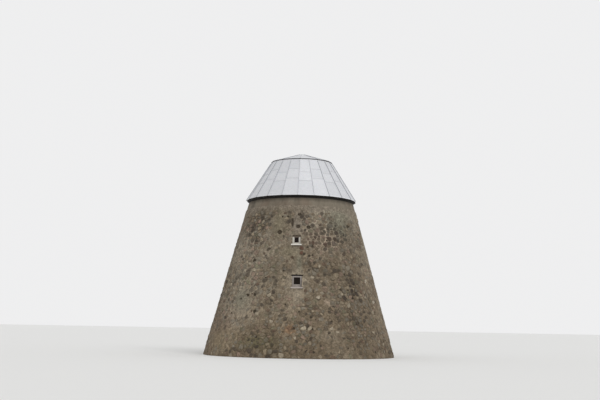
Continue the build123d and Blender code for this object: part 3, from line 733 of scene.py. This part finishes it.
knownStones = [  # degrees, height, weight, colour
    (3.9, 5.76, 1.2, (84, 58, 46)), (3.7, 5.48, 1.3, (90, 62, 49)), (-2.7, 5.25, 1.2, (78, 62, 48)),
    (14.0, 6.04, 1.4, (78, 60, 48)), (24.4, 5.98, 1.5, (70, 54, 44)), (33.0, 6.05, 1.4, (92, 82, 74)),
    (28.0, 6.32, 1.2, (62, 50, 41)), (34.5, 6.30, 1.2, (60, 49, 41)), (15.7, 3.15, 0.8, (166, 155, 138)),
    (-14.2, 1.85, 1.1, (152, 141, 124)), (66.0, 3.0, 1.1, (160, 152, 138)), (61.0, 4.1, 1.0, (150, 142, 128)),
    (-48.0, 2.1, 1.0, (152, 142, 126)), (-33.0, 4.55, 1.1, (146, 136, 118)), (10.5, 4.95, 1.3, (76, 66, 54)),
    (16.0, 4.0, 1.3, (78, 68, 57)), (41.0, 5.55, 1.3, (72, 62, 52)), (-23.0, 5.7, 1.2, (70, 62, 52)),
]


def layCourses():
    # a stone is (angle, height, weight, draw for its turn and shade, draw for its bulge, colour if known)
    w = stoneWork
    rng = random.Random(w["seed"])
    laid = [(math.radians(a), z, weight, rng.random(), 0.8, tone) for a, z, weight, tone in knownStones]
    taken = [onWall(stone[0], stone[1], 0.0) for stone in laid]
    z = w["foot"]
    while z < masonryTop - 0.05:
        height = rng.uniform(*w["course"])
        along = start = rng.uniform(-0.2, 0.2)
        while along < start + 2 * math.pi - 0.02:
            step = rng.uniform(*w["width"]) / wallRadius(z)
            here = along + step / 2 + rng.uniform(-0.5, 0.5) * w["jitter"] * step
            up = z + height / 2 + rng.uniform(-1, 1) * w["jitter"] * height
            weight = rng.uniform(*w["weight"]) * (w["big"][1] if rng.random() < w["big"][0] else 1.0)
            turn, bulge = rng.random(), rng.random()
            place = onWall(here, up, 0.0)
            if all(np.hypot(*(place - t)[:2]) + abs(place - t)[2] > w["apart"] for t in taken):
                laid.append((float(angleApart(here, 0)), up, weight, turn, bulge, None))
            along += step
        z += height / slant
    laid = [s for s in laid if w["margin"] < s[1] < masonryTop - w["margin"]]
    laid = [s for s in laid if not any(nearestEdge(s[0], s[1], opening)[2] for opening in clearings)]
    inPit = pitDepth(np.array([s[0] for s in laid]), np.array([s[1] for s in laid]))
    return [s for s, depth in zip(laid, inPit) if depth < 0.35]


seeds = layCourses()
drawn = len(seeds)
# the pits follow the stones in the list, and hold their neighbours back as a stone does
for middle, height, half, tall in pits:
    for step in (-0.5, 0.5) if tall > 0.2 else (0,):
        seeds.append((math.radians(middle), height + step * tall, half * stoneWork["pitPush"], 0, 0, None))
seedAlong = np.array([s[0] for s in seeds])
seedZ = np.array([s[1] for s in seeds])
seedPlaces = onWall(seedAlong, seedZ, 0.0)
print(drawn, "stones laid out")


def stoneOutlines():
    # each neighbour holds a stone back along the line between them, and so does an opening's edge
    w = stoneWork
    tree = kdtree.KDTree(len(seeds))
    for i, place in enumerate(seedPlaces):
        tree.insert(place, i)
    tree.balance()
    turns = np.linspace(0, 2 * np.pi, w["corners"], endpoint=False)
    rims = np.zeros((len(seeds), w["corners"]))
    for i, seed in enumerate(seeds):
        along, z, weight = seed[:3]
        walls = []
        for _, j, _ in tree.find_n(seedPlaces[i], w["neighbours"]):
            if j == i:
                continue
            other = seeds[j]
            dx = angleApart(other[0], along) * wallRadius((z + other[1]) / 2)
            dz = (other[1] - z) * slant
            gap = math.hypot(dx, dz)
            reach = gap * weight / (weight + other[2]) - w["joint"] / 2
            walls.append((dx / gap, dz / gap, max(reach, w["least"])))
        for opening in clearings:
            dx, dz, _ = nearestEdge(along, z, opening)
            gap = math.hypot(dx, dz)
            if 0 < gap < 0.5:
                walls.append((dx / gap, dz / gap, max(gap, w["least"])))
        walls.append((0, -1, max(z * slant - 0.006, w["least"])))
        walls.append((0, 1, max((masonryTop - z) * slant - 0.01, w["least"])))
        walls = np.array(walls)
        start = seed[3] * 2 * np.pi / w["corners"]
        rays = np.stack([np.cos(turns + start), np.sin(turns + start)])
        push = np.clip(walls[:, :2] @ rays, 0, None) / walls[:, 2:3]
        rims[i] = np.sum(push ** w["roundness"], axis=0) ** (-1 / w["roundness"])
    return rims


def domedStone(along, z, rim, turns, bulge, rng):
    # rings of points from the foot in the joint up to the face, and the middle of the face
    w = stoneWork
    corners = len(rim)
    shape = 1 + w["uneven"] * np.array([rng.uniform(-1, 1) for _ in range(corners)])
    tilt = [rng.uniform(*span) for span in w["tilt"]]
    facet, slope = rng.uniform(0, 2 * math.pi), rng.uniform(*w["facet"])
    rings = []
    for share, lift, _, _ in w["rings"]:
        dx = rim * shape * share * np.cos(turns)
        dz = rim * shape * share * np.sin(turns)
        out = np.full(corners, bulge * lift)
        if lift > 0:
            out += tilt[0] * dx + tilt[1] * dz
            out += bulge * 0.10 * np.array([rng.uniform(-1, 1) for _ in range(corners)])
            beyond = dx * math.cos(facet) + dz * math.sin(facet) - rim.mean() * 0.1
            out = np.maximum(np.minimum(out, bulge * 0.9 - slope * np.clip(beyond, 0, None)), 0.001)
        up = np.clip(z + dz / slant, 0.004, masonryTop - 0.004)
        rings.append(onWall(along + dx / wallRadius(z), up, out))
    return rings, onWall(np.array(along), np.array(z), np.array(bulge * 0.97))


def ringFaces(first, corners, rings):
    faces = []
    for ring in range(rings - 1):
        p, q = first + ring * corners, first + (ring + 1) * corners
        faces.extend((p + k, p + (k + 1) % corners, q + (k + 1) % corners, q + k) for k in range(corners))
    last = first + (rings - 1) * corners
    peak = first + rings * corners
    faces.extend((last + k, last + (k + 1) % corners, peak) for k in range(corners))
    faces.append(tuple(range(first + corners - 1, first - 1, -1)))
    return faces


def tinted(ob, name, colours):
    layer = ob.data.attributes.new(name, "FLOAT_COLOR", "POINT")
    values = np.ones((len(colours), 4), dtype=np.float32)
    values[:, :3] = colours
    layer.data.foreach_set("color", values.ravel())


def layStones():
    w = stoneWork
    rng = random.Random(w["seed"] + 1)
    tones = [np.array(srgb(*colour)) for colour, share in stoneTones.values() for _ in range(share)]
    cover, mortar, brightness, _ = wallCharacter(seedAlong, seedZ, seedPlaces)
    rims = stoneOutlines()
    corners = w["corners"]
    low, high = w["bulge"]
    segments = ((np.degrees(seedAlong) + 22.5) % 360 // 45).astype(int)
    segments[drawn:] = -1  # the pits
    for key, name in enumerate(segmentNames):
        verts, faces, tints = [], [], []
        members = np.nonzero(segments == key)[0]
        for i in members:
            along, z, _, a, b, known = seeds[i]
            rim = rims[i]
            sunk = 0.1 if known else 0.85 * cover[i]
            bulge = (low + (high - low) * b) * min(1.0, rim.mean() / 0.10) * (1.2 - sunk)
            turns = np.linspace(0, 2 * np.pi, corners, endpoint=False) + a * 2 * np.pi / corners
            tone = tones[rng.randrange(len(tones))] * rng.uniform(*w["brightness"])
            tone = tone * brightness[i] ** (0.3 + 1.3 * a)  # a patch tells more on some stones
            if known:
                tone = np.array(srgb(*known))
            wiped = 0.0 if known else cover[i] * rng.uniform(*w["wiped"])
            rings, top = domedStone(along, z, rim, turns, bulge, rng)
            faces.extend(ringFaces(len(verts), corners, len(rings)))
            for ring, (_, _, fade, grimeAndShade) in zip(rings, w["rings"]):
                verts.extend(ring.tolist())
                fade = min(1.0, fade + wiped)
                # grime and painted shade at the stone's foot, less where mortar covers it
                grimeAndShade += (1 - grimeAndShade) * 0.6 * cover[i]
                tints.extend([(tone * (1 - fade) + mortar[i] * fade) * grimeAndShade] * corners)
            verts.append(top.tolist())
            tints.append(tone * (1 - wiped) + mortar[i] * wiped)
        ob = addMesh(f"{name}Fieldstones", verts, faces, stoneMat)
        tinted(ob, "stoneTint", tints)
        print(ob.name, len(members), "stones,", sum(len(f) - 2 for f in faces), "triangles")


layStones()


doorIron = {
    "seed": 3,
    "plank": 0.1417,  # width
    "planks": 7,
    "ledges": (0.229, 1.05, 1.871),
    "nail": (0.011, 0.005, 9),  # radius, height, corners
    "nailAt": (0.035, 0.022),  # off a plank's middle, off a ledge's middle
    "stray": 0.004,
    "clearOfLatch": 0.015,
    "straps": (0.42, 1.68),
    "strapThickness": 0.006,
    "bolt": (0.016, 0.009, 6),
    "boltsAt": (-0.44, -0.26, -0.06, 0.14),
    "head": ((1.0, -0.001), (0.94, 0.45), (0.55, 0.9)),  # rings: share of the radius, share of the height
}


def ironHead(verts, faces, x, z, y, radius, height, corners, turn):
    # a hammered head: a low faceted dome
    first = len(verts)
    rings = doorIron["head"]
    for share, lift in rings:
        for k in range(corners):
            a = turn + k * 2 * math.pi / corners
            dx, dz = radius * share * math.cos(a), radius * share * math.sin(a)
            verts.append((x + dx, y + height * lift, z + dz))
    verts.append((x, y + height, z))
    for ring in range(len(rings) - 1):
        p, q = first + ring * corners, first + (ring + 1) * corners
        faces.extend((p + k, q + k, q + (k + 1) % corners, p + (k + 1) % corners) for k in range(corners))
    p = first + (len(rings) - 1) * corners
    faces.extend((p + k, p + corners, p + (k + 1) % corners) for k in range(corners))
    faces.append(tuple(first + k for k in range(corners)))


def nailDoor():
    d = doorIron
    rng = random.Random(d["seed"])
    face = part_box("door_leaf")[1].y
    latchLow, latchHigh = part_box("door_latch")
    clear = d["clearOfLatch"]
    aside, above = d["nailAt"]
    verts, faces = [], []
    for ledge in d["ledges"]:
        for plank in range(d["planks"]):
            middle = (plank - (d["planks"] - 1) / 2) * d["plank"]
            for side, drop in ((-aside, above), (aside, -above)):
                x = middle + side + rng.uniform(-d["stray"], d["stray"])
                z = ledge + drop + rng.uniform(-d["stray"], d["stray"])
                besideLatch = latchLow.x - clear < x < latchHigh.x + clear
                if besideLatch and latchLow.z - clear < z < latchHigh.z + clear:
                    continue
                ironHead(verts, faces, x, z, face, *d["nail"], rng.uniform(0, 1))
    onStrap = face + d["strapThickness"]
    for strap in d["straps"]:
        for x in d["boltsAt"]:
            ironHead(verts, faces, x, strap, onStrap, *d["bolt"], rng.uniform(0, 1))
    addMesh("doorNails", verts, faces, ironMat, smooth=False)
    print("door nailed,", len(faces), "faces")


nailDoor()


mortarWork = {
    "columns": 80,  # across one eighth of the wall
    "rows": 164,
    "beside": 0.012,  # extra grid lines this far on each side of an opening's edge
    "lean": 0.004,  # how far it stands out between bare stones
    "full": 0.034,  # and where it covers them
    "least": 0.0015,
    "lumps": 0.009,
    "raked": 0.7,  # share gone from open joints
    # how far painted shade darkens the open joints
    "rakedShade": 0.75,
    "overBand": 0.05,  # how far it runs up over the ring beam's foot
    "turnedIn": 0.004,  # how far its edge goes into the wall at an opening
}


def gridLines(low, high, count, edges, beside):
    # even spacing, with one more line on each side of an edge
    lines = list(np.linspace(low, high, count + 1))
    for edge in edges:
        for place in (edge - beside, edge + beside):
            if low < place < high:
                lines = [old for old in lines if abs(old - place) > beside / 2 or old in (low, high)]
                lines.append(place)
    return np.array(sorted(lines))


def mortarGrid(middle):
    # turns and heights of the grid's lines on the eighth around this angle
    m = mortarWork
    half = math.pi / 8
    sides, levels = [], []
    for opening, halfWidth, low, high in cuts:
        away = float(angleApart(opening, middle))
        if abs(away) < half:
            sides.extend(middle + away + side * halfWidth / wallRadius(high) for side in (-1, 1))
            levels.extend((low, high))
    turns = gridLines(middle - half, middle + half, m["columns"], sides, m["beside"] / wallRadius(3.0))
    return turns, gridLines(0, masonryTop + m["overBand"], m["rows"], levels, m["beside"])


def mortarFace(along, z):
    # how far the mortar stands out at these places, its colour and the pits in it
    m = mortarWork
    points = onWall(along, z, 0.0)
    cover, tone, _, flush = wallCharacter(along, z, points)
    lumps = rough(points, 4.2, 11, 3)
    fine = rough(points, 11.0, 5, 2)
    pit = pitDepth(along, z)
    openJoints = np.clip((rough(points, 5.5, 33, 2) - 0.12) * 4, 0, 1)
    raked = openJoints * np.clip(1.15 - 1.1 * cover, 0.12, 1) * (1 - flush)
    out = m["lean"] + (m["full"] - m["lean"]) * cover ** 1.4
    out += m["lumps"] * (lumps + 0.6 * fine) * (1.1 - 0.6 * cover)
    out = out * (1 - np.clip(pit * 1.3, 0, 1)) * (1 - m["raked"] * raked)
    out = np.maximum(out, m["least"])
    out[z > masonryTop + m["overBand"] * 0.9] = 0.0005  # feathered out on the band
    out[z < 0.01] = np.minimum(out[z < 0.01], 0.004)
    # tone varies with the same noise that raises the mortar: lighter where it stands out, partly painted
    # highlight on the lumps
    tone = tone * (1.02 + 0.34 * fine + 0.16 * lumps)[:, None]
    # painted shade in the open, raked joints
    tone += (mortarTone("dark") * 0.75 - tone) * (m["rakedShade"] * raked)[:, None]
    return out, tone, pit


def insideCuts(along, z):
    inside = np.zeros(len(z), dtype=bool)
    fromMiddle = np.minimum(np.abs(angleApart(along, 0)), np.abs(angleApart(along, math.pi)))
    for i in np.nonzero(fromMiddle < 0.35)[0]:
        inside[i] = any(nearestEdge(along[i], z[i], cut)[2] for cut in cuts)
    return inside


def toEdge(along, z, i):
    # moves a point that lies inside a window or doorway out to the nearest point of its whole outline
    middle = next(cut[0] for cut in cuts if nearestEdge(along[i], z[i], cut)[2])
    near = [cut for cut in cuts if cut[0] == middle]
    x = angleApart(along[i], middle) * wallRadius(z[i])
    best = None
    for _, half, low, high in near:
        points = [(-half, z[i]), (half, z[i]), (x, low), (x, high)]
        points += [(side, level) for side in (-half, half) for cut in near for level in cut[2:]]
        for nx, nz in points:
            outside = not any(abs(nx) < cut[1] and cut[2] < nz < cut[3] for cut in near)
            onOutline = any(abs(nx) <= cut[1] and cut[2] <= nz <= cut[3] for cut in near)
            isCorner = abs(nx) == half and nz in (low, high)
            gap = math.hypot(nx - x, nz - z[i]) * (0.7 if isCorner else 1)  # keeps the corners square
            if nz >= 0 and outside and onOutline and (best is None or gap < best[0]):
                best = (gap, middle + nx / wallRadius(nz), nz)
    if best:
        along[i], z[i] = best[1], best[2]


def layMortar():
    for key, name in enumerate(segmentNames):
        turns, heights = mortarGrid(key * math.pi / 4)
        along, z = [grid.ravel().copy() for grid in np.meshgrid(turns, heights)]
        out, tone, pit = mortarFace(along, z)
        inside = insideCuts(along, z)
        width = len(turns)
        quads = []
        for row in range(len(heights) - 1):
            for column in range(width - 1):
                p = row * width + column
                quad = (p, p + 1, p + 1 + width, p + width)
                if not all(inside[list(quad)]):
                    quads.append(quad)
        used = sorted({i for quad in quads for i in quad})
        for i in used:
            if inside[i]:
                toEdge(along, z, i)
                out[i] = -mortarWork["turnedIn"]
        verts = onWall(along, z, out)
        verts[:, 2] = np.maximum(verts[:, 2], 0.0)
        order = {old: new for new, old in enumerate(used)}
        faces = [tuple(order[i] for i in quad) for quad in quads]
        ob = addMesh(f"{name}Mortar", verts[used].tolist(), faces, wipedMat)
        tinted(ob, "mortarTint", tone[used])
        layer = ob.data.attributes.new("pitDepth", "FLOAT", "POINT")
        layer.data.foreach_set("value", pit[used].astype(np.float32))
        print(ob.name, len(faces) * 2, "triangles")


layMortar()


# floor, light and camera

studio = {
    "floor": (0.80, 0.80, 0.79),
    "floorSize": 800,
    "sky": (0.86, 0.86, 0.865),
    "ambient": 0.69,
    "sun": 1.22,
    "sunSoftness": 35,
    "sunFrom": (29, -47, 43),
}


def layFloor():
    me = bpy.data.meshes.new("floor")
    s = studio["floorSize"] / 2
    me.from_pydata([(-s, -s, 0), (s, -s, 0), (s, s, 0), (-s, s, 0)], [], [(0, 1, 2, 3)])
    floor = bpy.data.objects.new("floor", me)
    bpy.context.scene.collection.objects.link(floor)
    me.materials.append(NodeSet("floor").finish(studio["floor"], 0.9, specular=0.1))


def lightStudio():
    # the world lights the tower with one grey, and shows another to the camera and in reflections
    world = bpy.data.worlds.new("studio")
    bpy.context.scene.world = world
    world.use_nodes = True
    tree = world.node_tree
    light = tree.nodes["Background"]
    light.inputs["Color"].default_value = (1, 1, 1, 1)
    light.inputs["Strength"].default_value = studio["ambient"]
    sky = tree.nodes.new("ShaderNodeBackground")
    sky.inputs["Color"].default_value = (*studio["sky"], 1)
    path = tree.nodes.new("ShaderNodeLightPath")
    seen = path.outputs["Is Camera Ray"]
    for ray in ("Is Glossy Ray", "Is Transmission Ray"):
        either = tree.nodes.new("ShaderNodeMath")
        either.operation = "MAXIMUM"
        tree.links.new(seen, either.inputs[0])
        tree.links.new(path.outputs[ray], either.inputs[1])
        seen = either.outputs[0]
    mix = tree.nodes.new("ShaderNodeMixShader")
    tree.links.new(seen, mix.inputs[0])
    tree.links.new(light.outputs[0], mix.inputs[1])
    tree.links.new(sky.outputs[0], mix.inputs[2])
    tree.links.new(mix.outputs[0], tree.nodes["World Output"].inputs["Surface"])

    lamp = bpy.data.lights.new("softSun", "SUN")
    lamp.energy = studio["sun"]
    lamp.angle = math.radians(studio["sunSoftness"])
    sun = bpy.data.objects.new("softSun", lamp)
    sun.rotation_mode = "QUATERNION"
    sun.rotation_quaternion = Vector(studio["sunFrom"]).to_track_quat("Z", "Y")
    bpy.context.scene.collection.objects.link(sun)


shot = {
    "lens": 55.8,  # 930 pixels on a frame 600 wide
    "sensor": 36,
    "distance": 53.1,  # from the tower's axis
    "eye": 1.65,
    "round": 3.4,  # degrees to the right of the upper window
    "tilt": 7.72,
    "lean": 1.0,  # clockwise, in the picture
    "aside": 0.075,  # degrees to the left of the axis
}


def setCamera():
    cam = bpy.data.cameras.new("photoView")
    cam.lens = shot["lens"]
    cam.sensor_width = shot["sensor"]
    cam.clip_end = 1000
    ob = bpy.data.objects.new("photoView", cam)
    turn = math.radians(shot["round"])
    ob.location = (shot["distance"] * math.sin(turn), -shot["distance"] * math.cos(turn), shot["eye"])
    level = Euler((math.radians(90 + shot["tilt"]), 0, turn + math.radians(shot["aside"])))
    ob.rotation_mode = "QUATERNION"
    ob.rotation_quaternion = level.to_quaternion() @ Quaternion((0, 0, 1), math.radians(shot["lean"]))
    bpy.context.scene.collection.objects.link(ob)
    bpy.context.scene.camera = ob


layFloor()
lightStudio()
setCamera()
bpy.context.scene.view_settings.view_transform = "Standard"
print("stage set")
